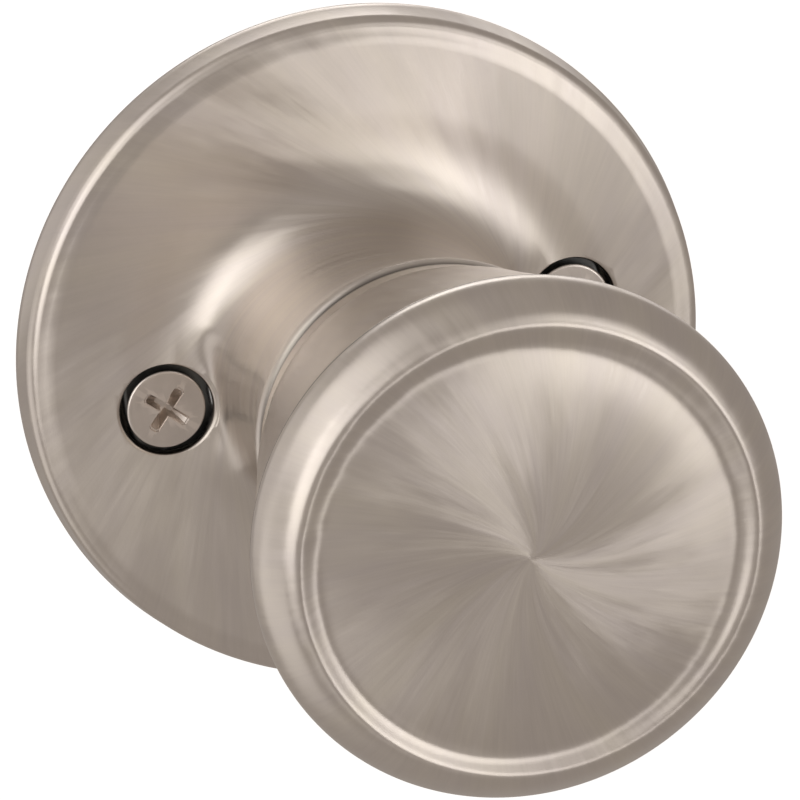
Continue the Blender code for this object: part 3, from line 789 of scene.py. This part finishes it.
def shade_gap(piece, reach_out, low, high):
    """Marks the surface round both screws, between two heights, with painted shade for the shadowed gap."""
    mesh = piece.data
    if "painted_shade" not in mesh.attributes:
        mesh.attributes.new("painted_shade", "FLOAT", "POINT")
    marks = mesh.attributes["painted_shade"].data
    for vertex, mark in zip(mesh.vertices, marks):
        x, height, z = vertex.co.x / MM, -vertex.co.y / MM, vertex.co.z / MM
        if low < height < high and math.hypot(abs(x) - SCREW_OFFSET, z) < reach_out:
            mark.value = GAP_PAINTED_SHADE


def make_rose():
    rose = turned("rose_shell", sheet_outline(rose_outer(), SHEET), NICKEL)
    press_seats(rose.data)
    for side in (-1, 1):
        combine(rose, rose_hole_cutter(side), "DIFFERENCE")
    # Painted shade on the lip's top, where the knob's shank sits close over it.
    brush(rose, rose_outer(), rose_swirl, ([LIP_TOP - 0.5, LIP_TOP - 0.12], [0.0, 1.0]))
    # Painted shade on the wall of each screw hole, round the screw heads.
    shade_gap(rose, HOLE_RADIUS + 0.12, 1.0, 8.0)
    return rose


THREAD_PITCH = 0.79
THREAD_DEPTH = 0.32
THREAD_START = 0.6
THREAD_LEAD = 1.5
THREAD_FLANK = 0.8
THREAD_SIDES = 40
THREAD_ROWS = 8
TIP_LENGTH = 1.2
TIP_TAPER = 0.7
SCREW_SHANK = 2.05


def thread_mesh(name, top, bottom):
    """A screw's shank: a ridge that climbs round a round bar, and a tapered end."""
    sides = THREAD_SIDES
    rows = int((top - bottom) / THREAD_PITCH * THREAD_ROWS)
    shape = bmesh.new()
    rings = []
    for row in range(rows + 1):
        height = top + (bottom - top) * row / rows
        ring = []
        for side in range(sides):
            phase = (height / THREAD_PITCH + side / sides) % 1.0
            groove = THREAD_DEPTH * abs(2 * phase - 1) ** THREAD_FLANK
            lead = min(1.0, max(0.0, (top - THREAD_START - height) / THREAD_LEAD))
            taper = max(0.0, 1.0 - (height - bottom) / TIP_LENGTH) * TIP_TAPER
            radius = SCREW_SHANK - groove * lead - taper
            angle = 2 * math.pi * side / sides
            place = (radius * math.cos(angle) * MM, -height * MM, radius * math.sin(angle) * MM)
            ring.append(shape.verts.new(place))
        rings.append(ring)
    skin(shape, rings)
    return finished_mesh(name, shape)


HEAD_RIM = 0.25
HEAD_CONE = 2.0
HEAD_EDGE = 0.22
RECESS_TURN = 45.0
# Each cut of the driver recess: depth, length of an arm, half its width, and the bottom's share of the top.
RECESS_CUTS = ((1.7, 2.4, 0.5, 0.42), (0.14, 2.48, 0.56, 0.96))


def recess_corners(end, half_width):
    """The cross of the driver recess, with its inner corners and its ends rounded."""
    arm = [(half_width, half_width), (end - 0.22, half_width), (end, half_width * 0.55)]
    arm += [(end, -half_width * 0.55), (end - 0.22, -half_width)]
    corners = []
    for quarter in range(4):
        turn = -quarter * math.pi / 2
        for x, z in arm:
            corners.append((x * math.cos(turn) - z * math.sin(turn), x * math.sin(turn) + z * math.cos(turn)))
    return corners


def make_screw(side):
    """A flat-head screw: rounded rim, countersunk cone, tapered cross recess and a machine thread."""
    name = "screw_left_detail" if side < 0 else "screw_right_detail"
    cone_top = SCREW_TOP - HEAD_RIM
    cone_bottom = cone_top - HEAD_CONE
    head = [(0.0, SCREW_TOP), (SCREW_HEAD_RADIUS - 0.4, SCREW_TOP), (SCREW_HEAD_RADIUS - 0.27, SCREW_TOP)]
    head += arc((SCREW_HEAD_RADIUS - HEAD_EDGE, SCREW_TOP - HEAD_EDGE), HEAD_EDGE, 90, 0, 5)
    head += [(SCREW_HEAD_RADIUS, cone_top), (SCREW_HEAD_RADIUS - 0.08, cone_top - 0.1)]
    head += [(SCREW_SHANK, cone_bottom)]
    head += [(SCREW_SHANK, cone_bottom - 0.5), (0.0, cone_bottom - 0.5)]
    screw = turned(name, head, SCREW_METAL, SMALL_SIDES, closed=False)
    for depth, arm, half_width, taper in RECESS_CUTS:
        cross = recess_corners(arm, half_width)
        cutter = prism("recess", cross, SCREW_TOP - depth, SCREW_TOP + 0.01, taper=taper)
        cutter.transform(Matrix.Rotation(math.radians(RECESS_TURN), 4, "Y"))
        combine(screw, cutter, "DIFFERENCE")
    combine(screw, thread_mesh("thread", cone_bottom - 0.2, SCREW_TIP), "UNION")
    screw.data.transform(door_matrix(side * SCREW_OFFSET, 0.0))
    return screw


PLATE_TOP = 3.8
RING_TOP = 3.2
PLATE_SHEET = 1.4
RIVET_HOLE = 1.1
DRAIN_HOLE = 1.6
DRAIN_CIRCLE = 27.0


def make_plate():
    """The steel plate: a dished land with countersinks and rivet holes, and a turned-down rim."""
    corners = [(12.0, PLATE_TOP), (24.3, PLATE_TOP), (24.9, RING_TOP), (30.0, RING_TOP), (30.0, 0.0)]
    corners += [(28.6, 0.0), (28.6, RING_TOP - PLATE_SHEET), (24.3, RING_TOP - PLATE_SHEET)]
    corners += [(23.7, PLATE_TOP - PLATE_SHEET), (12.0, PLATE_TOP - PLATE_SHEET)]
    plate = turned("mounting_plate_detail", soften(corners, 0.45), ZINC, 192)
    sink = [(0.0, 5.2), (4.2, 5.2), (4.2, 5.15), (2.35, 3.15), (2.35, 1.0), (0.0, 1.0)]
    for side in (-1, 1):
        cutter = turned_mesh("countersink", sink, SMALL_SIDES, closed=False)
        cutter.transform(door_matrix(side * SCREW_OFFSET, 0.0))
        combine(plate, cutter, "DIFFERENCE")
    for index in range(3):
        x, z = rivet_place(index)
        combine(plate, bar("rivet_hole", RIVET_HOLE, 1.0, 5.0, door_matrix(x, z), 32), "DIFFERENCE")
    for angle in (45.0, 135.0, 225.0, 315.0):
        place = ring_matrix(DRAIN_CIRCLE, angle)
        combine(plate, bar("drain_hole", DRAIN_HOLE, 1.0, 5.0, place, 40), "DIFFERENCE")
    # Painted shade in the countersinks, under the screw heads.
    shade_gap(plate, HOLE_RADIUS + 0.7, PLATE_TOP - 0.9, PLATE_TOP + 0.2)
    return plate


def rivet_place(index):
    """A rivet's axis, as (x, z) in millimetres."""
    low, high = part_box(f"cup_rivet_{index + 1}")
    return (low[0] + high[0]) / 2 / MM, (low[2] + high[2]) / 2 / MM


def make_cup():
    """The spring cup, drawn from sheet, with its stop tab and the window for the spring's foot."""
    corners = [(13.0, 11.5), (13.0, 4.9), (16.2, 4.9), (16.2, 4.1)]
    corners += [(8.6, 4.1), (8.6, 4.9), (12.2, 4.9), (12.2, 11.5)]
    cup = turned("spring_cup_detail", soften(corners, 0.22), ZINC, 192)
    tab = block("tab", (-1.5, -14.4, 12.26), (1.5, -10.6, 12.9))
    combine(cup, tab, "UNION")
    for index in range(3):
        x, z = rivet_place(index)
        combine(cup, bar("rivet_hole", RIVET_HOLE, 3.0, 6.0, door_matrix(x, z), 32), "DIFFERENCE")
    combine(cup, block("foot_window", (-0.9, -6.75, -14.4), (0.9, -4.95, -11.2)), "DIFFERENCE")
    return cup


def make_rivet(index):
    """A rivet with a domed head and a set tail."""
    x, z = rivet_place(index)
    top, bottom = -reach(f"cup_rivet_{index + 1}", 1, 0), -reach(f"cup_rivet_{index + 1}", 1, 1)
    outline = [(0.0, top), (0.45, top - 0.03), (0.85, top - 0.16), (1.12, top - 0.38), (1.24, top - 0.62)]
    outline += [(1.2, top - 0.7), (0.8, top - 0.7), (0.8, bottom + 0.7), (1.2, bottom + 0.7)]
    outline += [(1.24, bottom + 0.6), (1.1, bottom + 0.3), (0.8, bottom + 0.08), (0.4, bottom), (0.0, bottom)]
    mesh = turned_mesh(f"rivet_detail_{index + 1}", outline, 48, closed=False)
    mesh.transform(door_matrix(x, z))
    return add_piece(f"rivet_detail_{index + 1}", mesh, ZINC)


SPRING_RADIUS = 10.4
SPRING_WIRE = 0.6
SPRING_START = 5.85
SPRING_RISE = 4.5
SPRING_TURNS = 3
SPRING_FOOT_ANGLE = 270.0
SPRING_FOOT_END = 14.35
COIL_START = 7.0
COIL_STEPS = 60
HOOK_ANGLE = 6.0
HOOK_TOP = 13.28


def at_angle(radius, angle, height):
    turn = math.radians(angle)
    return (radius * math.cos(turn), -height, radius * math.sin(turn))


def make_return_spring():
    """The torsion spring: a foot out through the cup's wall, three coils, and a hook up into the cam."""
    points = [at_angle(SPRING_FOOT_END, SPRING_FOOT_ANGLE, SPRING_START)]
    points.append(at_angle(13.0, SPRING_FOOT_ANGLE, SPRING_START))
    bend = [(12.0, 0.0), (11.25, 0.6), (10.75, 2.2), (SPRING_RADIUS, COIL_START)]
    bend = smooth_line(bend, (-1.0, 0.0), (0.0, 1.0), 5)
    points += [at_angle(radius, SPRING_FOOT_ANGLE + angle, SPRING_START) for radius, angle in bend]
    steps = COIL_STEPS * SPRING_TURNS
    for step in range(1, steps + 1):
        angle = COIL_START + (360.0 * SPRING_TURNS - COIL_START) * step / steps
        rise = SPRING_RISE * step / steps
        points.append(at_angle(SPRING_RADIUS, SPRING_FOOT_ANGLE + angle, SPRING_START + rise))
    top = SPRING_START + SPRING_RISE
    for angle, rise in ((2.4, 0.06), (4.2, 0.32), (5.4, 0.75), (5.9, 1.2), (HOOK_ANGLE, 1.8)):
        points.append(at_angle(SPRING_RADIUS, SPRING_FOOT_ANGLE + angle, top + rise))
    points.append(at_angle(SPRING_RADIUS, SPRING_FOOT_ANGLE + HOOK_ANGLE, HOOK_TOP))
    return tube("return_spring_detail", points, SPRING_WIRE, 20, SPRING_METAL)


def make_bush():
    """The nylon bearing, with a flange and six grease grooves in its bore."""
    corners = [(8.2, 29.2), (13.8, 29.2), (13.8, 26.6), (13.0, 25.8), (13.0, 15.0), (8.2, 15.0)]
    bush = turned("collar_bush_detail", soften(corners, 0.4), NYLON, 160)
    for groove in range(6):
        place = ring_matrix(8.15, 30.0 + 60.0 * groove)
        combine(bush, bar("groove", 0.5, 14.0, 30.0, place, 20), "DIFFERENCE")
    return bush


def make_washer():
    corners = [(8.4, 30.5), (13.5, 30.5), (13.5, 29.5), (8.4, 29.5)]
    return turned("thrust_washer_detail", soften(corners, 0.18), ZINC, 160)


# ---------------------------------------------------------------- the knob and what turns with it

SLOT_SIZE = (6.4, 3.6)
CATCH_SIZE = (5.2, 2.8)
CATCH_REACH = (11.6, 17.5)
CATCH_SHIFT = -0.2
CATCH_BORE_TOP = 14.2


def catch_matrix():
    """Local X is the catch's line of travel, outwards; local Y is out of the door; local Z runs round."""
    turn = math.radians(CATCH_ANGLE)
    out = Vector((math.cos(turn), 0.0, math.sin(turn)))
    forward = Vector((0.0, -1.0, 0.0))
    around = out.cross(forward)
    return Matrix((out, forward, around)).transposed().to_4x4()


def catch_prism(name, inner, outer, length, width, corner, shift=0.0):
    """A bar with rounded corners along the catch's line of travel; its length runs round the knob."""
    corners = [(-width / 2, shift - length / 2), (width / 2, shift - length / 2)]
    corners += [(width / 2, shift + length / 2), (-width / 2, shift + length / 2)]
    mesh = prism(name, soften(corners, corner, steps=6), inner, outer)
    frame_of_catch = catch_matrix().to_3x3()
    out, forward, around = (frame_of_catch.col[index] for index in range(3))
    turn = Matrix((forward, -out, around)).transposed().to_4x4()
    mesh.transform(Matrix.Translation(forward * CATCH_HEIGHT * MM) @ turn)
    return mesh


def make_bowl():
    bowl = turned("knob_bowl_shell", sheet_outline(bowl_outer(), SHEET), NICKEL)
    combine(bowl, catch_prism("shank_slot", 14.4, 21.0, *SLOT_SIZE, 1.5), "DIFFERENCE")
    # Painted shade at the shank's back end, inside the rose's lip, and at the rim under the cap's edge.
    gaps = [SHANK_BACK + 0.25, SHANK_BACK + 0.6, 59.7, 60.1]
    brush(bowl, bowl_outer(), cap_swirl, (gaps, [1.0, 0.0, 0.0, 1.0]))
    return bowl


def make_cap():
    cap = turned("knob_face_shell", sheet_outline(cap_outer(), CAP_SHEET), NICKEL)
    # Painted shade along the cap's back edge, where it closes over the bowl's rim.
    brush(cap, cap_outer(), cap_swirl, ([CAP_BACK + 0.05, CAP_BACK + 0.3], [1.0, 0.0]))
    return cap


def make_core():
    """The die-cast hub, with shallow pockets under its flange and the catch's pocket."""
    corners = [(8.3, 47.7), (18.6, 47.7), (18.6, 45.0), (15.4, 40.5), (15.4, 30.8), (8.3, 30.8)]
    core = turned("knob_core_detail", soften(corners, 0.5), CASTING, 192)
    combine(core, catch_prism("pocket", 9.2, 16.4, *SLOT_SIZE, 0.4), "DIFFERENCE")
    for pocket in range(8):
        place = ring_matrix(14.2, 22.5 + 45.0 * pocket)
        combine(core, bar("lightening", 2.6, 46.3, 49.0, place, 40), "DIFFERENCE")
    return core


def make_filler():
    corners = [(0.0, 63.3), (21.6, 63.3), (21.6, 59.8), (14.0, 59.8), (12.0, 57.8), (12.0, 48.0), (0.0, 48.0)]
    filler = turned("face_filler_detail", soften(corners, 0.6, closed=False), NYLON, 160, closed=False)
    return filler


def make_sleeve():
    """The drive sleeve, with its clip groove, square bore and cross hole."""
    corners = [(0.0, 47.2), (8.0, 47.2), (8.0, 4.1), (7.1, 4.1)]
    corners += [(7.1, 2.7), (8.0, 2.7), (8.0, -1.0), (0.0, -1.0)]
    sleeve = turned("drive_sleeve_detail", soften(corners, 0.2, closed=False), CASTING, 128, closed=False)
    square = soften([(-4.1, -4.1), (4.1, -4.1), (4.1, 4.1), (-4.1, 4.1)], 0.5)
    combine(sleeve, prism("bore", square, -2.0, 48.0), "DIFFERENCE")
    combine(sleeve, cross_bar("cross_hole", 1.5, 9.0, 40), "DIFFERENCE")
    return sleeve


def cross_bar(name, radius, half_length, sides, edge=0.0):
    """A round bar along X through the sleeve at the pin's height, with its ends rounded off by the edge."""
    outline = [(0.0, half_length), (radius, half_length), (radius, -half_length), (0.0, -half_length)]
    if edge:
        outline = soften(outline, edge, closed=False)
    mesh = turned_mesh(name, outline, sides, closed=False)
    across = Matrix.Rotation(math.radians(90.0), 4, "Z")
    mesh.transform(Matrix.Translation((0.0, -PIN_HEIGHT * MM, 0.0)) @ across)
    return mesh


def make_spindle():
    """The square drive bar, with rolled edges, chamfered ends and a row of break-off notches."""
    blank = block("spindle_blank", (-3.8, -42.0, -3.8), (3.8, 46.0, 3.8))
    spindle = add_piece("spindle_detail", blank, ZINC)
    combine(spindle, cross_bar("cross_hole", 1.5, 9.0, 40), "DIFFERENCE")
    for notch in range(4):
        place = 24.0 + 5.0 * notch
        for edge in range(4):
            turn = Matrix.Rotation(math.radians(90.0 * edge + 45.0), 4, "Y")
            cutter = block("notch", (4.95, place - 0.3, -1.0), (6.0, place + 0.3, 1.0), turn)
            combine(spindle, cutter, "DIFFERENCE")
    return flatten_faces(round_edges(spindle, 0.35, 3))


def make_pin():
    return add_piece("spindle_pin_detail", cross_bar("spindle_pin_detail", 1.2, 7.6, 40, 0.25), ZINC)


def make_cam():
    """The cam disc: a wide notch for the stop tab and a hole for the spring's hook."""
    corners = [(8.3, 13.5), (13.2, 13.5), (13.2, 12.1), (8.3, 12.1)]
    cam = turned("driver_cam_detail", soften(corners, 0.15), ZINC, 160)
    half_angle = 55.0 + math.degrees(math.atan2(1.5, 12.2)) + 1.0
    notch = arc((0.0, 0.0), 11.6, 90 - half_angle, 90 + half_angle, 48)
    notch += arc((0.0, 0.0), 21.0, 90 + half_angle, 90 - half_angle, 48)
    combine(cam, prism("notch", notch, 11.0, 14.5), "DIFFERENCE")
    place = ring_matrix(SPRING_RADIUS, SPRING_FOOT_ANGLE + HOOK_ANGLE)
    combine(cam, bar("hook_hole", 0.9, 11.0, 14.5, place, 32), "DIFFERENCE")
    return cam


def make_clip():
    corners = [(7.4, 3.8), (11.5, 3.8), (11.5, 3.0), (7.4, 3.0)]
    clip = turned("retaining_clip_detail", soften(corners, 0.12), SPRING_METAL, 160)
    combine(clip, block("mouth", (-3.5, -4.5, -13.0), (3.5, -2.0, 0.0)), "DIFFERENCE")
    for side in (-1, 1):
        combine(clip, bar("plier_hole", 0.7, 2.0, 4.5, door_matrix(side * 5.6, -8.0), 32), "DIFFERENCE")
    return clip


def make_catch():
    """The release catch: a small steel button with rounded edges and a bore for its spring."""
    blank = catch_prism("catch_blank", *CATCH_REACH, *CATCH_SIZE, 1.1, CATCH_SHIFT)
    catch = add_piece("knob_catch_detail", blank, ZINC)
    round_edges(catch, 0.3, 4)
    bore = catch_prism("catch_bore", CATCH_REACH[0] - 1.0, CATCH_BORE_TOP, 2.3, 2.0, 0.5, CATCH_SHIFT)
    combine(catch, bore, "DIFFERENCE")
    return catch


COIL_ENDS = (9.62, 13.78)
COIL_RADIUS = 0.45
COIL_WIRE = 0.12


def make_catch_spring():
    """A fine compression spring with its end coils closed up."""
    start, end = COIL_ENDS
    turns, per_turn = 7, 24
    matrix = catch_matrix()
    points = []
    for step in range(turns * per_turn + 1):
        share = step / (turns * per_turn)
        closed_up = share - 0.06 * math.sin(4 * math.pi * share)
        angle = 2 * math.pi * step / per_turn
        local = Vector((start + (end - start) * closed_up, 0.0, 0.0))
        local += Vector((0.0, CATCH_HEIGHT + COIL_RADIUS * math.sin(angle), 0.0))
        local += Vector((0.0, 0.0, CATCH_SHIFT + COIL_RADIUS * math.cos(angle)))
        points.append(tuple(matrix @ local))
    return tube("catch_spring_detail", points, COIL_WIRE, 10, SPRING_METAL)


# ---------------------------------------------------------------- camera, light and floor

def make_camera():
    camera_data = bpy.data.cameras.new("camera")
    camera_data.lens = 292.5
    camera_data.sensor_width = 36.0
    camera = bpy.data.objects.new("camera", camera_data)
    right = Vector((0.95282, -0.24173, -0.18358))
    up = Vector((0.25328, 0.29980, 0.91977))
    place = Matrix((right, up, right.cross(up))).transposed().to_4x4()
    place.translation = (-0.10395, -0.59000, 0.21451)
    camera.matrix_world = place
    bpy.context.scene.collection.objects.link(camera)
    bpy.context.scene.camera = camera
    bpy.context.scene.view_settings.view_transform = "Standard"


def make_world(colour, strength):
    world = bpy.data.worlds.new("studio")
    bpy.context.scene.world = world
    world.use_nodes = True
    background = world.node_tree.nodes["Background"]
    background.inputs["Color"].default_value = (*colour, 1.0)
    background.inputs["Strength"].default_value = strength


LIGHT_DISTANCE = 1.0
LIGHT_CENTRE = Vector((0.0, -0.03, 0.0))


def softbox(name, azimuth, elevation, width, height, radiance):
    """A soft light that faces the knob; azimuth 0 is straight in front and positive to the right."""
    data = bpy.data.lights.new(name, "AREA")
    data.shape = "ELLIPSE"
    data.size, data.size_y = width, height
    data.energy = radiance * math.pi * (math.pi / 4 * width * height)
    light = bpy.data.objects.new(name, data)
    az, el = math.radians(azimuth), math.radians(elevation)
    direction = Vector((math.sin(az) * math.cos(el), -math.cos(az) * math.cos(el), math.sin(el)))
    light.location = direction * LIGHT_DISTANCE + LIGHT_CENTRE
    light.rotation_euler = (-direction).to_track_quat("-Z", "Y").to_euler()
    bpy.context.scene.collection.objects.link(light)


def make_floor():
    """A plain pale sweep under and behind the object."""
    mesh = bpy.data.meshes.new("floor")
    shape = bmesh.new()
    bmesh.ops.create_grid(shape, x_segments=1, y_segments=1, size=6.0)
    shape.to_mesh(mesh)
    shape.free()
    floor = bpy.data.objects.new("floor", mesh)
    floor.location = (0.0, 0.0, -0.12)
    bpy.context.scene.collection.objects.link(floor)
    material, _, shader = new_material("floor")
    shader.inputs["Base Color"].default_value = (0.9, 0.9, 0.9, 1.0)
    shader.inputs["Roughness"].default_value = 0.8
    shader.inputs["Emission Color"].default_value = (1.0, 1.0, 1.0, 1.0)
    shader.inputs["Emission Strength"].default_value = 0.45
    mesh.materials.append(material)
    floor.visible_glossy = False
    floor.visible_diffuse = False
    floor.visible_shadow = False


def fit(piece, body, node_name):
    """The piece rides on the body in place of a CAD node, which is hidden."""
    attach(piece, body)
    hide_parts(node_name)


make_camera()
make_world((1.0, 0.92, 0.86), 0.42)
SOFTBOXES = [
    ("key_right", 30.0, 0.0, 0.47, 0.47, 2.25),
    ("key_right_high", 45.0, 15.0, 0.47, 0.47, 1.05),
    ("right_top", 45.0, 31.0, 0.47, 0.47, 0.95),
    ("key_left", -45.0, 15.0, 0.82, 0.82, 1.6),
    ("left_top", -75.0, 45.0, 0.82, 0.82, 1.05),
    ("left_low", -90.0, -20.0, 0.82, 0.82, 0.5),
    ("front_low", -15.0, -20.0, 0.47, 0.47, 0.15),
    ("back_high", 170.0, 24.0, 0.5, 0.4, 1.8),
    ("back_right", 150.0, 15.0, 0.47, 0.47, 0.8),
    ("back_left", -120.0, 15.0, 1.2, 1.2, 0.32),
]
for settings in SOFTBOXES:
    softbox(*settings)
make_floor()

fit(make_rose(), "rose_assembly", "rose")
fit(make_plate(), "rose_assembly", "mounting_plate")
fit(make_cup(), "rose_assembly", "spring_cup")
for number in range(3):
    fit(make_rivet(number), "rose_assembly", f"cup_rivet_{number + 1}")
fit(make_bush(), "rose_assembly", "collar_bush")
fit(make_washer(), "rose_assembly", "thrust_washer")
fit(make_screw(-1), "rose_assembly", "mounting_screw_left")
fit(make_screw(1), "rose_assembly", "mounting_screw_right")

return_spring = make_return_spring()
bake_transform(return_spring)
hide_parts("return_spring")

fit(make_bowl(), "knob", "knob_bowl")
fit(make_cap(), "knob", "knob_face")
fit(make_core(), "knob", "knob_core")
fit(make_filler(), "knob", "face_filler")
fit(make_sleeve(), "knob", "drive_sleeve")
fit(make_spindle(), "knob", "spindle")
fit(make_pin(), "knob", "spindle_pin")
fit(make_cam(), "knob", "driver_cam")
fit(make_clip(), "knob", "retaining_clip")
fit(make_catch(), "release_catch", "knob_catch")

catch_spring = make_catch_spring()
fit(catch_spring, "knob", "catch_spring")
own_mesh(catch_spring)
